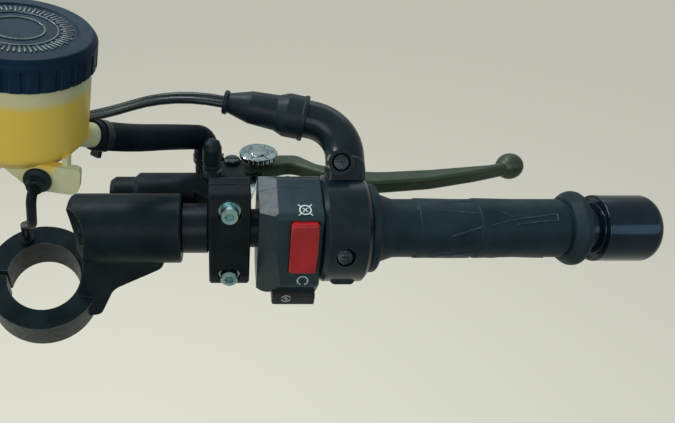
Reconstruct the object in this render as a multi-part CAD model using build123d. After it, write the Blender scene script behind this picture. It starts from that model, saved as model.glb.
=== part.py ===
from build123d import *
import math
import os

# Right-hand clip-on handlebar of a sport touring motorcycle, with its controls.
# X runs along the bar towards its outer end, Y forward, Z up. Millimetres.
# The origin is the centre of the clamp that goes round the fork tube.

# Fork clamp
fork_diameter = 43.0
fork_lean_out = 10.6
fork_rake = 22.1
ring_wall = 12.0
ring_height = 28.0
ear_reach = 13.0
ear_thickness = 10.0
pinch_slit = 3.0
pinch_bolt_diameter = 8.0

# Bar and its stations along X, each one after the last
bar_height = 46.0
bar_diameter = 22.2
bar_wall = 3.6
socket_inset = 23.5
socket_diameter = 40.0
socket_length = 63.5
socket_floor = 6.0
collar_diameter = 28.8
collar_length = 15.2
arm_depth = 30.0

# Master cylinder and its clamp on the bar
clamp_width = 23.2
clamp_height = 62.0
clamp_drop = 2.0
clamp_depth = 15.5
clamp_split = 1.0
clamp_edge = 1.0
clamp_bolt_spacing = 43.0
clamp_bolt_diameter = 6.0
perch_tilt = 5.0
barrel_diameter = 27.0
barrel_forward = 37.0
barrel_length = 66.0
piston_bore = 16.0
piston_recess = 12.0
hose_port_diameter = 8.9
hose_port_depth = 14.0
pivot_forward = 62.0
pivot_across = 14.0
pivot_diameter = 8.0
lug_thickness = 4.0
lug_radius = 6.4

# Brake lever
lever_thickness = 9.4
lever_ball_diameter = 17.5
knuckle_thickness = 4.6
dial_diameter = 25.2
dial_thickness = 3.4
dial_teeth = 24

# Switch housing
switch_gap = 4.4
switch_width = 34.6
switch_facet = 42.0
switch_bevel = 9.8
switch_screws = (22.0, -25.0)
rocker_centre = 5.4
rocker_inset = 3.0
rocker_width = 15.0
rocker_height = 32.0
rocker_rise = 3.6
rocker_dish_radius = 90.0
starter_width = 24.4

# Throttle housing, cable elbow and boot
case_gap = 0.4
case_width = 25.0
case_radius = 30.5
case_split_tilt = 35.0
case_upper_screw = 37.5
case_screw_x = -2.4
case_lower_screw = -27.0
elbow_radius = 11.2
elbow_inset = 8.6
elbow_bend = 24.0
drum_radius = 19.0
drum_width = 12.0
drum_clearance = 1.5
boot_radius = 13.6
cable_diameter = 4.6
cable_spacing = 6.0
coil_x = -72.0
coil_middle = 70.0
coil_height = 45.0
coil_radius = 28.0
coil_pitch = 5.2
coil_turns = 4

# Twist grip and bar end
grip_gap = 1.0
grip_length = 123.4
grip_radius = 16.75
grip_collar_radius = 21.0
grip_flange_radius = 25.4
sleeve_wall = 2.1
weight_gap = 1.6
weight_neck = 5.4
weight_length = 31.6
weight_radius = 19.0

# Reservoir
cap_radius = 33.0
cap_height = 13.5
cap_ribs = 30
reservoir_radius = 31.0
reservoir_wall = 2.2
stub_height = 6.5
reservoir_depth = 33.6
reservoir_taper = 7.0
reservoir_lean = 10.7
reservoir_top = (25.7, -23.8, 174.6)
lug_plate_thickness = 4.0
lug_front = 25.0
lug_foot = -64.0
lug_side = 32.3
lug_hole_place = (14.0, -58.0)
bush_radius = 4.4
hose_radius = 7.5
stay_radius = 2.2
stay_foot = 4.0
stay_turn = 120.0

# Fits
running_gap = 0.06
seat_gap = 0.02
part_gap = 0.3

bar_radius = bar_diameter / 2
fork_radius = fork_diameter / 2
ring_radius = fork_radius + ring_wall
socket_end = socket_inset + socket_length
collar_end = socket_end + collar_length
clamp_start = collar_end + part_gap
clamp_end = clamp_start + clamp_width
switch_start = clamp_end + switch_gap
switch_end = switch_start + switch_width
switch_middle = switch_start + switch_width / 2
rocker_middle = switch_end - rocker_inset - rocker_width / 2
case_start = switch_end + case_gap
case_end = case_start + case_width
grip_start = case_end + grip_gap
grip_end = grip_start + grip_length
weight_start = grip_end + weight_gap + weight_neck
weight_end = weight_start + weight_length

os.makedirs("parts", exist_ok=True)


def along_bar(x):
    # Local X is forward, local Y is up and local Z runs out along the bar
    return Plane(origin=(x, 0, bar_height), x_dir=(0, 1, 0), z_dir=(1, 0, 0))


def perch_plane():
    # Local X runs along the bar, local Y forward in the lever's plane, local Z up
    tilt = math.radians(perch_tilt)
    return Plane(origin=(0, 0, bar_height), x_dir=(1, 0, 0), z_dir=(0, math.sin(tilt), math.cos(tilt)))


def fork_plane():
    # Local Z is the fork's axis, local X points out along the bar
    lean = math.radians(fork_lean_out)
    rake = math.radians(fork_rake)
    axis = Vector(math.sin(lean), -math.sin(rake), math.cos(rake) * math.cos(lean)).normalized()
    across = (Vector(1, 0, 0) - axis * axis.X).normalized()
    return Plane(origin=(0, 0, 0), x_dir=across, z_dir=axis)


def reservoir_plane():
    # Origin at the middle of the cap's top, local Z up along the reservoir
    lean = math.radians(reservoir_lean)
    return Plane(origin=reservoir_top, x_dir=(math.cos(lean), 0, -math.sin(lean)),
                 z_dir=(math.sin(lean), 0, math.cos(lean)))


def rounded_face(corners):
    # A flat face from (x, y, radius) corners, straight runs joined by tangent arcs
    edges = []
    joints = []
    count = len(corners)
    for index, (x, y, radius) in enumerate(corners):
        here = Vector(x, y)
        before = Vector(*corners[index - 1][:2]) - here
        after = Vector(*corners[(index + 1) % count][:2]) - here
        before = before.normalized()
        after = after.normalized()
        half = math.radians(before.get_angle(after)) / 2
        if radius > 0:
            reach = radius / math.tan(half)
            middle = (before + after).normalized()
            start = here + before * reach
            end = here + after * reach
            top = here + middle * (radius / math.sin(half) - radius)
            edges.append(ThreePointArc(start, top, end))
        else:
            start = here
            end = here
        joints.append((start, end))
    for index in range(count):
        start = joints[index][1]
        end = joints[(index + 1) % count][0]
        if (end - start).length > 1e-6:
            edges.append(Line(start, end))
    return make_face(edges)


def turned(outline):
    # A solid of revolution about Z from (radius, height) or (radius, height, rounding) points
    corners = [(point + (0,))[:3] for point in outline]
    return revolve(Plane.XZ * rounded_face(corners), Axis.Z)


def rod(radius, length):
    return Cylinder(radius, length, align=(Align.CENTER, Align.CENTER, Align.MIN))


def save(shape, name):
    export_step(shape, "parts/" + name + ".step")


def beam_between(start, end):
    # A plane at start whose Z points at end
    return Plane(origin=start, z_dir=Vector(*end) - Vector(*start))


def bar_holder():
    fork = fork_plane()
    ring = Cylinder(ring_radius, ring_height)
    ear_width = 2 * ear_thickness + pinch_slit
    ear_centre = -(ring_radius + ear_reach / 2 - 4)
    ears = Pos(ear_centre, 0, 0) * Box(ear_reach + 8, ear_width, ring_height - 6)
    ears = fillet(ears.edges().filter_by(Axis.Y).group_by(Axis.X)[0], 6)
    clamp = fork * (ring + ears)
    arm_outline = rounded_face([
        (socket_inset + 2, bar_height - 4, 0),
        (socket_end - 6, bar_height - 4, 0),
        (socket_end - 12, bar_height - 19, 8),
        (ring_radius + 12, 10, 14),
        (ring_radius + 2, -12, 6),
        (ring_radius - 16, -14, 4),
        (fork_radius - 2, 16, 10),
    ])
    arm = Plane.XZ.offset(-arm_depth / 2 - 1) * extrude(arm_outline, arm_depth)
    socket = along_bar(socket_inset) * rod(socket_diameter / 2, socket_length)
    ends = socket.edges().filter_by(GeomType.CIRCLE).sort_by(Axis.X)
    socket = fillet(ends[0], 3.5)
    socket = chamfer(socket.edges().filter_by(GeomType.CIRCLE).sort_by(Axis.X)[-1], 1.0)
    body = clamp + arm + socket
    body -= fork * Cylinder(fork_radius, ring_height + 1)
    body -= fork * Pos(0, 0, ring_height / 2) * rod(fork_radius + 2, 60)
    body -= fork * Pos(0, 0, -ring_height / 2) * Rot(180, 0, 0) * rod(fork_radius + 2, 60)
    slit = Box(ring_radius + ear_reach + 4, pinch_slit, ring_height + 20)
    body -= fork * Pos(-ring_radius - 8, 0, 0) * slit
    bolt_x = -(ring_radius + ear_reach / 2 + 0.5)
    hole = Cylinder(pinch_bolt_diameter / 2 + 0.3, ear_width + 10)
    root_x, root_y = stay_root()
    body -= fork * Pos(root_x, root_y, stay_foot) * rod(stay_radius + seat_gap, 20)
    body -= fork * Pos(bolt_x, 0, 0) * Rot(90, 0, 0) * hole
    body -= along_bar(socket_inset + socket_floor) * rod(bar_radius + seat_gap, socket_length)
    return body


def holder_pinch_bolt():
    ear_width = 2 * ear_thickness + pinch_slit
    bolt_x = -(ring_radius + ear_reach / 2 + 0.5)
    shank = pinch_bolt_diameter / 2
    head = shank * 1.6
    outline = [(0, -ear_width / 2 - 4), (shank, -ear_width / 2 - 4), (shank, ear_width / 2),
               (head, ear_width / 2), (head, ear_width / 2 + 7), (head - 1, ear_width / 2 + 8),
               (0, ear_width / 2 + 8)]
    bolt = turned(outline)
    socket = Pos(0, 0, ear_width / 2 + 4) * extrude(RegularPolygon(3.5, 6), 5)
    nut = Pos(0, 0, -ear_width / 2 - 6.5) * extrude(RegularPolygon(7.5, 6), 6.5)
    return fork_plane() * Pos(bolt_x, 0, 0) * Rot(-90, 0, 0) * ((bolt + nut) - socket)


def handlebar_tube():
    inner = bar_radius - bar_wall
    start = socket_inset + socket_floor
    end = grip_end + weight_gap
    outline = [(inner, start), (bar_radius, start), (bar_radius, socket_end),
               (collar_diameter / 2 - 0.8, socket_end), (collar_diameter / 2, socket_end + 0.8),
               (collar_diameter / 2, collar_end - 0.8), (collar_diameter / 2 - 0.8, collar_end),
               (bar_radius, collar_end), (bar_radius, end), (inner, end)]
    return along_bar(0) * turned(outline)


def bar_end_weight():
    inner = bar_radius - bar_wall
    plug = inner - seat_gap
    neck = bar_radius + 2.6
    tube_end = grip_end + weight_gap
    outline = [(3.3, tube_end - 18), (plug, tube_end - 18, 0.8), (plug, tube_end), (neck, tube_end, 1.0),
               (neck, weight_start + 1.5, 1.0), (weight_radius - 2.6, weight_start + 1.5, 1.0),
               (weight_radius - 1.6, weight_start, 0.6), (weight_radius, weight_start + 0.6, 0.8),
               (weight_radius, weight_end, 5.0), (10.0, weight_end, 1.2), (9.0, weight_end - 7),
               (3.3, weight_end - 7)]
    return along_bar(0) * turned(outline)


def bar_end_screw():
    head_seat = weight_end - 7
    outline = [(0, head_seat - 34), (3.0, head_seat - 34), (3.0, head_seat), (5.5, head_seat),
               (5.5, head_seat + 4.6), (4.9, head_seat + 5.2), (0, head_seat + 5.2)]
    drive = Pos(0, 0, head_seat + 2) * extrude(RegularPolygon(2.9, 6), 5)
    return along_bar(0) * (turned(outline) - drive)


def throttle_tube():
    inner = bar_radius + running_gap
    outer = bar_radius + sleeve_wall
    drum_start = case_start + (case_width - drum_width) / 2
    drum_end = drum_start + drum_width
    groove = drum_radius - 3
    quarter = drum_width / 4
    outline = [(inner, drum_start - 3), (outer, drum_start - 3), (outer, drum_start),
               (drum_radius, drum_start), (groove, drum_start + quarter),
               (drum_radius, drum_start + 2 * quarter), (groove, drum_start + 3 * quarter),
               (drum_radius, drum_end), (outer, drum_end), (outer, grip_end), (inner, grip_end)]
    return along_bar(0) * turned(outline)


def grip_rubber():
    inner = bar_radius + sleeve_wall + seat_gap
    flange = grip_flange_radius
    barrel = grip_radius
    collar = grip_collar_radius
    outline = [(inner, grip_start), (flange, grip_start, 1.6), (flange, grip_start + 5.5, 2.2),
               (barrel + 3.6, grip_start + 6.2, 1.8), (barrel, grip_start + 16, 9),
               (barrel, grip_end - 12.6, 0.4), (barrel - 1.5, grip_end - 12.0, 0.4),
               (barrel - 1.5, grip_end - 10.8, 0.4), (barrel + 1.0, grip_end - 10.2, 1.0),
               (collar + 0.4, grip_end - 5.6, 3.0), (collar + 0.2, grip_end - 2.6, 2.0),
               (barrel - 0.6, grip_end, 1.4), (inner, grip_end)]
    return along_bar(0) * turned(outline)


def clamp_outline(side):
    # Half of the clamp in (forward, up), side is 1 in front of the bar and -1 behind it
    top = clamp_height / 2 - clamp_drop
    bottom = -clamp_height / 2 - clamp_drop
    split = side * clamp_split / 2
    return rounded_face([
        (split, bottom, 0),
        (side * 12.5, bottom, 7),
        (side * clamp_depth, bottom + 10, 8),
        (side * clamp_depth, top - 12, 8),
        (side * 10.5, top, 6),
        (split, top, 0),
    ])


def clamp_half(side):
    tilt = Rot(0, 0, -perch_tilt)
    block = along_bar(clamp_start) * tilt * extrude(clamp_outline(side), clamp_width)
    ends = block.faces().filter_by(GeomType.PLANE).sort_by(Axis.X)
    rims = ends[0].edges() + ends[-1].edges()
    long_rims = rims.filter_by(lambda edge: abs(edge.center().Y) > clamp_split)
    block = chamfer(long_rims, clamp_edge)
    block -= along_bar(clamp_start - 1) * rod(bar_radius + seat_gap, clamp_width + 2)
    return block


def clamp_bolt_places():
    middle = clamp_start + clamp_width / 2
    return [(middle, side * clamp_bolt_spacing / 2 - clamp_drop) for side in (1, -1)]


def master_clamp_cap():
    cap = clamp_half(-1)
    radius = clamp_bolt_diameter / 2
    for x, z in clamp_bolt_places():
        drill = perch_plane() * Pos(x, 0, z) * Rot(90, 0, 0) * Cylinder(radius + 0.3, 80)
        seat = perch_plane() * Pos(x, -11.0, z) * Rot(90, 0, 0) * rod(6.6, 20)
        cap -= drill
        cap -= seat
    return cap


def clamp_bolts():
    radius = clamp_bolt_diameter / 2
    outline = [(0, -21), (radius, -21), (radius, 0), (6.1, 0), (6.1, 1.4), (5.0, 1.4), (5.0, 6.6),
               (4.4, 7.4), (0, 7.4)]
    bolts = []
    for x, z in clamp_bolt_places():
        bolt = turned(outline) - Pos(0, 0, 4.2) * extrude(RegularPolygon(2.9, 6), 5)
        bolts.append(perch_plane() * Pos(x, -11.0, z) * Rot(90, 0, 0) * bolt)
    return Compound(children=bolts)


def pivot_x():
    return clamp_start + pivot_across


def master_cylinder_body():
    perch = perch_plane()
    barrel_end = clamp_start + 4.5
    barrel_start = barrel_end - barrel_length
    radius = barrel_diameter / 2
    half_gap = lever_thickness / 2 + 0.3
    barrel_outline = [(0, barrel_start), (9, barrel_start), (radius - 2.5, barrel_start + 3),
                      (radius - 2.5, barrel_start + 15), (radius, barrel_start + 18),
                      (radius, barrel_end), (0, barrel_end)]
    barrel = perch * Pos(0, barrel_forward, 0) * Rot(0, 90, 0) * turned(barrel_outline)
    body = clamp_half(1) + barrel
    bridge_outline = rounded_face([
        (clamp_start - 9, barrel_forward - radius + 2, 0),
        (clamp_start + 0.5, 16.5, 0),
        (clamp_start + 0.5, 8, 0),
        (clamp_end, 8, 0),
        (clamp_end, barrel_forward - radius + 2, 0),
    ])
    body += perch * Pos(0, 0, -9) * extrude(bridge_outline, 18)
    lug_outline = rounded_face([
        (clamp_start - 10, barrel_forward - 6, 0),
        (clamp_start - 10, barrel_forward - radius + 1, 0),
        (clamp_end, barrel_forward - radius + 1, 3),
        (pivot_x() + lug_radius, pivot_forward + lug_radius, lug_radius - 0.3),
        (pivot_x() - lug_radius, pivot_forward + lug_radius, lug_radius - 0.3),
    ])
    for z in (half_gap, -half_gap - lug_thickness):
        body += perch * Pos(0, 0, z) * extrude(lug_outline, lug_thickness)
    bleed_x, bleed_y, bleed_z = bleed_place()
    body += perch * Pos(bleed_x, bleed_y, 0) * rod(7.5, bleed_z)
    inlet_x, inlet_y, inlet_z = inlet_place()
    body += perch * Pos(inlet_x, inlet_y, 0) * rod(7.0, inlet_z)
    body -= perch * Pos(bleed_x, bleed_y, bleed_z - 3) * rod(3.4 + seat_gap, 10)
    body -= perch * Pos(barrel_end, barrel_forward, 0) * Rot(0, -90, 0) * rod(piston_bore / 2, piston_recess)
    port = rod(hose_port_diameter / 2, hose_port_depth)
    body -= perch * Pos(barrel_start, barrel_forward, 0) * Rot(0, 90, 0) * port
    body -= along_bar(clamp_start - 1) * rod(bar_radius + seat_gap, clamp_width + 2)
    pivot_hole = Cylinder(pivot_diameter / 2 + seat_gap, 60)
    body -= perch * Pos(pivot_x(), pivot_forward, 0) * pivot_hole
    clear = Box(60, 46, 2 * half_gap, align=(Align.MIN, Align.MIN, Align.CENTER))
    body -= perch * Pos(barrel_end, barrel_forward - radius - 0.5, 0) * clear
    for x, z in clamp_bolt_places():
        tapped = Cylinder(clamp_bolt_diameter / 2, 24)
        body -= perch * Pos(x, 0, z) * Rot(90, 0, 0) * tapped
    return body


def lever_pivot_bolt():
    half = lever_thickness / 2 + 0.3 + lug_thickness
    radius = pivot_diameter / 2
    outline = [(0, -half - 6), (3.0, -half - 6), (3.0, -half), (radius, -half), (radius, half),
               (5.3, half), (5.3, half + 2.2), (4.6, half + 3), (0, half + 3)]
    slot = Box(14, 1.6, 6, align=(Align.CENTER, Align.CENTER, Align.MIN))
    bolt = turned(outline) - Pos(0, 0, half + 1.2) * slot
    nut = Pos(0, 0, -half - 5.2) * extrude(RegularPolygon(5.6, 6), 5.1)
    return perch_plane() * Pos(pivot_x(), pivot_forward, 0) * (bolt + nut)


def lever_blade():
    px = pivot_x()
    py = pivot_forward
    outline = rounded_face([
        (px - 7.5, py - 7, 6),
        (px - 7.5, py + 8, 6.5),
        (px + 24, py + 19.5, 8),
        (px + 45, py + 19.5, 9),
        (px + 57, py + 6.5, 16),
        (px + 88, py - 4.5, 60),
        (px + 130, py - 0.5, 40),
        (px + 172, py + 6.0, 30),
        (px + 190, py + 13.5, 0),
        (px + 190, py + 6.5, 0),
        (px + 161, py - 4.0, 30),
        (px + 128, py - 13.5, 60),
        (px + 88, py - 19.0, 30),
        (px + 68, py - 11.5, 30),
        (px + 40, py + 7.0, 12),
        (px + 12, py - 4.0, 8),
    ])
    blade = extrude(outline, lever_thickness / 2, both=True)
    long_edges = blade.edges().filter_by(Plane.XY)
    blade = fillet(long_edges.filter_by(lambda edge: edge.center().X < px + 189.9), 2.6)
    blade += Pos(px + 188, py + 10.8, 0) * Sphere(lever_ball_diameter / 2)
    slot = Box(40, 60, knuckle_thickness + 0.6)
    slot = fillet(slot.edges().filter_by(Axis.Z), 4)
    blade -= Pos(px, py, 0) * slot
    blade -= Pos(px, py, 0) * Cylinder(pivot_diameter / 2 + running_gap, 40)
    blade -= Pos(dial_x(), dial_y(), lever_thickness / 2 - 2.0) * rod(2.5 + seat_gap, 10)
    return perch_plane() * blade


def dial_x():
    return pivot_x() + 17.6


def dial_y():
    return pivot_forward + 7.3


def lever_knuckle():
    px = pivot_x()
    py = pivot_forward
    half = knuckle_thickness / 2
    outline = rounded_face([
        (px - 7.0, py + 7.0, 6.4),
        (px - 7.0, py - 6.0, 5),
        (px + 2.5, py - 20, 6),
        (px + 2.5, barrel_forward - 5, 3),
        (px + 11.5, barrel_forward - 5, 5),
        (px + 16.0, py - 12, 10),
        (px + 17.0, py + 0.5, 4),
        (px + 9.0, py + 7.0, 4),
    ])
    knuckle = extrude(outline, half, both=True)
    pin_start = clamp_start + 2
    pin = Pos(pin_start, barrel_forward, 0) * Rot(0, 90, 0) * rod(3.0, px + 4 - pin_start)
    knuckle += chamfer(pin.edges().filter_by(GeomType.CIRCLE).sort_by(Axis.X)[0], 1.0)
    knuckle -= Pos(px, py, 0) * Cylinder(pivot_diameter / 2 + running_gap, 40)
    return perch_plane() * knuckle


def adjuster_dial():
    radius = dial_diameter / 2
    top = lever_thickness / 2 + part_gap + lug_thickness + part_gap
    hole_floor = lever_thickness / 2 - 2.0
    outline = [(0, hole_floor), (2.5, hole_floor), (2.5, hole_floor + 2.2), (5.5, hole_floor + 2.2),
               (5.5, top), (radius - 0.6, top), (radius, top + 0.6),
               (radius, top + dial_thickness - 0.6), (radius - 0.6, top + dial_thickness),
               (6.0, top + dial_thickness), (5.4, top + dial_thickness + 0.8),
               (0, top + dial_thickness + 0.8)]
    dial = turned(outline)
    notch = Pos(radius + 0.5, 0, top - 1) * rod(1.1, dial_thickness + 2)
    teeth = [Rot(0, 0, 360 / dial_teeth * index) * notch for index in range(dial_teeth)]
    return perch_plane() * Pos(dial_x(), dial_y(), 0) * (dial - teeth)


def piston_boot():
    barrel_end = clamp_start + 4.5
    radius = piston_bore / 2 - seat_gap
    outline = [(6.2, barrel_end - 5), (radius, barrel_end - 5), (radius, barrel_end - 0.8),
               (radius - 0.6, barrel_end - 0.2), (6.2, barrel_end - 0.2)]
    return perch_plane() * Pos(0, barrel_forward, 0) * Rot(0, 90, 0) * turned(outline)


def brake_light_switch():
    top = -(lever_thickness / 2 + 0.3 + lug_thickness)
    middle_x = clamp_start - 0.8
    block = Box(17, 10, 8.5, align=(Align.CENTER, Align.CENTER, Align.MAX))
    block = fillet(block.edges().filter_by(Axis.Z), 1.5)
    outlet = Pos(-8.5, 0, -4.5) * Rot(0, -90, 0) * rod(2.8, 6)
    rib = Pos(0, 2, -8.5) * Box(15, 3, 1.6, align=(Align.CENTER, Align.CENTER, Align.MAX))
    return perch_plane() * Pos(middle_x, barrel_forward + 16.2, top) * (block + outlet + rib)


def bleed_place():
    return clamp_start + 1.5, barrel_forward, barrel_diameter / 2 + 2.0


def inlet_place():
    return clamp_start - 2.5, barrel_forward + 14.4, barrel_diameter / 2 - 1.5


def bleed_screw():
    x, y, z = bleed_place()
    thread = rod(3.4, 3.0)
    hexagon = Pos(0, 0, 3.0) * extrude(RegularPolygon(5.6, 6), 3.4)
    nipple = Pos(0, 0, 6.4) * rod(2.6, 11)
    screw = thread + hexagon + nipple - Pos(0, 0, 9.5) * rod(1.0, 12)
    return perch_plane() * Pos(x, y, z) * (Pos(0, 0, -3.0) * screw)


def bleed_cap():
    x, y, z = bleed_place()
    base = 3.7
    outline = [(2.6 + seat_gap, base), (5.4, base), (5.85, base + 0.5), (5.85, base + 2.0),
               (5.2, base + 2.8), (5.2, base + 4.0), (5.85, base + 4.8), (5.85, base + 13.5),
               (4.6, base + 17.2), (2.4, base + 18.7), (0, base + 18.9), (0, base + 11.2),
               (2.6 + seat_gap, base + 11.2)]
    return perch_plane() * Pos(x, y, z) * turned(outline)


def inlet_route():
    # The stub's seat on the master cylinder and the corner where the hose turns down to it
    x, y, z = inlet_place()
    perch = perch_plane()
    base = perch.from_local_coords(Vector(x, y, z))
    bend = perch.from_local_coords(Vector(x, y, z + stub_height + 14.0))
    return base, bend


def hose_route():
    # From the nipple under the reservoir, past a sag, down onto the stub
    base, bend = inlet_route()
    up = (bend - base).normalized()
    start = Vector(45.5, -7.8, 112.9)
    sag = Vector(61.5, 12.5, 98.6)
    last = Vector(81.0, 37.0, 84.4)
    return [start, sag, last, bend, base + up * 3.2]


def tangent_radii(points):
    # Arc radius at each inner point from the shorter run beside it
    radii = []
    for index in range(1, len(points) - 1):
        before = points[index] - points[index - 1]
        after = points[index + 1] - points[index]
        half = math.radians(before.get_angle(after)) / 2
        radii.append(0.45 * min(before.length, after.length) / math.tan(half))
    return radii


def tube_along(points, radius, bore=0.0):
    route = FilletPolyline(*points, radius=tangent_radii(points))
    start = Plane(origin=route @ 0, z_dir=route % 0)
    section = start * Circle(radius)
    if bore > 0:
        section -= start * Circle(bore)
    return sweep(section, path=route)


def reservoir_hose():
    return tube_along(hose_route(), hose_radius, 4.5)


def hose_clips():
    points = hose_route()
    outer = hose_radius + 0.7
    clips = []
    for end, inner, inset, turn in [(points[0], points[1], 4.0, 0), (points[-1], points[-2], 1.2, 180)]:
        band = rod(outer, 4.0)
        tab = Pos(0, outer + 1.2, 2.0) * Box(5.0, 3.4, 3.0)
        clip = band + tab - Cylinder(hose_radius + seat_gap, 30)
        clips.append(beam_between(end, inner) * Pos(0, 0, inset) * Rot(0, 0, turn) * clip)
    return Compound(children=clips)


def inlet_stub():
    base, bend = inlet_route()
    outline = [(1.8, 0), (6.8, 0, 0.6), (6.8, 3.0, 0.6), (4.5 - seat_gap, 3.0),
               (4.5 - seat_gap, stub_height + 2.5, 0.8), (1.8, stub_height + 2.5)]
    return beam_between(base, bend) * turned(outline)


def reservoir_body():
    plane = reservoir_plane()
    outer = reservoir_radius
    inner = outer - reservoir_wall
    top = -cap_height - 0.4
    shoulder = top - reservoir_depth
    floor = shoulder - reservoir_taper
    foot = outer - 5.5
    outline = [(0, floor), (foot, floor, 3.0), (outer, shoulder, 6.0), (outer, top, 0.6),
               (28.4, top), (28.4, -4.0), (26.4, -4.0), (26.4, top - 1.2), (inner, top - 2.6),
               (inner, shoulder), (foot - 2, floor + reservoir_wall), (0, floor + reservoir_wall)]
    body = turned(outline)
    lug_top = shoulder - 2.5
    lug_outline = rounded_face([
        (lug_side, lug_top, 2),
        (lug_side, lug_foot, 5),
        (10.7, lug_foot, 3),
        (-5.7, lug_top, 2),
    ])
    body += Plane.XZ.offset(lug_offset()) * extrude(lug_outline, lug_plate_thickness)
    for rib_x, rib_y, rib_z in [(3.0, -17.0, floor - 2.0), (25.0, -18.0, lug_top - 0.5)]:
        body += Pos(rib_x, rib_y, rib_z) * Box(2.5, 9.0, 8.0)
    x, z = lug_hole_place
    body -= Pos(x, -lug_offset() + 6, z) * Rot(90, 0, 0) * rod(bush_radius + seat_gap, 30)
    hollow = turned([(0, floor + reservoir_wall), (foot - 2, floor + reservoir_wall),
                     (inner, shoulder), (inner, top - 2.6), (0, top - 2.6)])
    body = plane * (body - hollow)
    points = hose_route()
    outward = (points[1] - points[0]).normalized()
    root = points[0] - outward * 15
    nipple = Plane(origin=root, z_dir=outward) * rod(4.5 - seat_gap, 26)
    shoulder_ring = Plane(origin=root, z_dir=outward) * rod(6.2, 14.8)
    return body + ((nipple + shoulder_ring) - plane * hollow)


def lug_offset():
    return lug_front - lug_plate_thickness


def brake_fluid():
    inner = reservoir_radius - reservoir_wall - 0.1
    shoulder = -cap_height - 0.4 - reservoir_depth
    floor = shoulder - reservoir_taper + reservoir_wall + 0.15
    level = -cap_height - 6
    outline = [(0, floor), (reservoir_radius - 7.9, floor), (inner, shoulder), (inner, level), (0, level)]
    return reservoir_plane() * turned(outline)


def reservoir_cap():
    outline = [(0, -0.8), (cap_radius - 9, -0.8, 0.5), (cap_radius - 8, 0, 0.5), (cap_radius - 2.2, 0, 1.2),
               (cap_radius, -2.6, 1.5), (cap_radius, -cap_height, 0.8), (28.5, -cap_height), (28.5, -3.6),
               (0, -3.6)]
    cap = turned(outline)
    groove = Pos(cap_radius + 0.6, 0, -cap_height - 1) * rod(1.6, cap_height - 3)
    grooves = [Rot(0, 0, 360 / cap_ribs * index) * groove for index in range(cap_ribs)]
    return reservoir_plane() * (cap - grooves)


def reservoir_grommet():
    # Rubber bush in the lug with a neck towards the rider
    x, z = lug_hole_place
    back = lug_offset()
    inner = stay_radius + seat_gap
    outline = [(inner, back), (bush_radius, back), (bush_radius, lug_front + seat_gap),
               (6.2, lug_front + seat_gap, 0.5), (6.2, lug_front + 1.8, 0.8),
               (4.2, lug_front + 2.6, 0.5), (3.6, lug_front + 7.0, 0.8), (inner, lug_front + 7.0)]
    return reservoir_plane() * Pos(x, 0, z) * Rot(90, 0, 0) * turned(outline)


def stay_retainer():
    # Push-on washer that keeps the stay in its bush
    x, z = lug_hole_place
    back = lug_offset() - seat_gap
    inner = stay_radius + seat_gap
    outline = [(inner, back), (bush_radius - 0.2, back), (bush_radius - 0.2, back - 0.8),
               (inner + 0.8, back - 1.6), (inner, back - 1.6)]
    return reservoir_plane() * Pos(x, 0, z) * Rot(90, 0, 0) * turned(outline)


def stay_root():
    # Where the stay stands in the wall of the clamp ring
    wall = fork_radius + ring_wall / 2
    turn = math.radians(stay_turn)
    return wall * math.cos(turn), wall * math.sin(turn)


def reservoir_stay():
    # A bent rod: through the bush, then down past the fork into a hole in the clamp ring
    x, z = lug_hole_place
    plane = reservoir_plane()
    tip = plane.from_local_coords(Vector(x, 4.0 - lug_offset(), z))
    corner = plane.from_local_coords(Vector(x, -lug_front - 12.5, z))
    bend = plane.from_local_coords(Vector(x, -lug_front - 10.5, z - 17.0))
    root_x, root_y = stay_root()
    fork = fork_plane()
    above = fork.from_local_coords(Vector(root_x, root_y, 32.0))
    foot = fork.from_local_coords(Vector(root_x, root_y, stay_foot + 0.1))
    route = FilletPolyline(tip, corner, bend, above, foot, radius=[4.5, 9, 16])
    stay = sweep(Plane(origin=route @ 0, z_dir=route % 0) * Circle(stay_radius), path=route)
    collar = fork * Pos(root_x, root_y, ring_height / 2) * rod(stay_radius * 2, 2.5)
    return stay + collar


def case_profile_cut(side, gap):
    # A big block on one side of the split plane of the throttle housing
    block = Box(200, 200, 100, align=(Align.CENTER, Align.CENTER, Align.MIN))
    tilt = math.radians(case_split_tilt)
    normal = Vector(0, -math.cos(tilt), math.sin(tilt)) * side
    origin = Vector(case_start + case_width / 2, 0, bar_height) + normal * gap
    return Plane(origin=origin, x_dir=(1, 0, 0), z_dir=normal) * block


def split_frame():
    # Local X along the bar, local Z towards the rider and up, square to the split
    tilt = math.radians(case_split_tilt)
    return Plane(origin=(case_start + case_width / 2, 0, bar_height), x_dir=(1, 0, 0),
                 z_dir=(0, -math.cos(tilt), math.sin(tilt)))


def elbow_route():
    boot_start, boot_end = boot_route()
    back = (boot_start - boot_end).normalized()
    corner = boot_start + back * ((case_end - elbow_inset - boot_start.X) / back.X)
    return [Vector(case_end - elbow_inset, 10, bar_height + 17), corner, boot_start]


def boot_route():
    return Vector(160, 50, 89), Vector(111, 60, 95)


def case_shell():
    outer = case_radius
    shell = along_bar(case_start) * rod(outer, case_width)
    shell = chamfer(shell.edges().filter_by(GeomType.CIRCLE), 2.0)
    frame = split_frame()
    upper = Pos(1.5, case_upper_screw - 8, 6) * Box(21, 24, 12)
    upper = fillet(upper.edges().filter_by(Axis.Z).group_by(Axis.Y)[-1], 8)
    upper = fillet(upper.edges().group_by(Axis.Z)[-1], 2)
    upper += Pos(case_screw_x, case_upper_screw, 8) * rod(7.0, 8)
    lower = Pos(0, case_lower_screw + 2, -1) * Box(14, 12, 22)
    lower = fillet(lower.edges().filter_by(Axis.Z), 3)
    return shell + frame * upper + frame * lower


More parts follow.
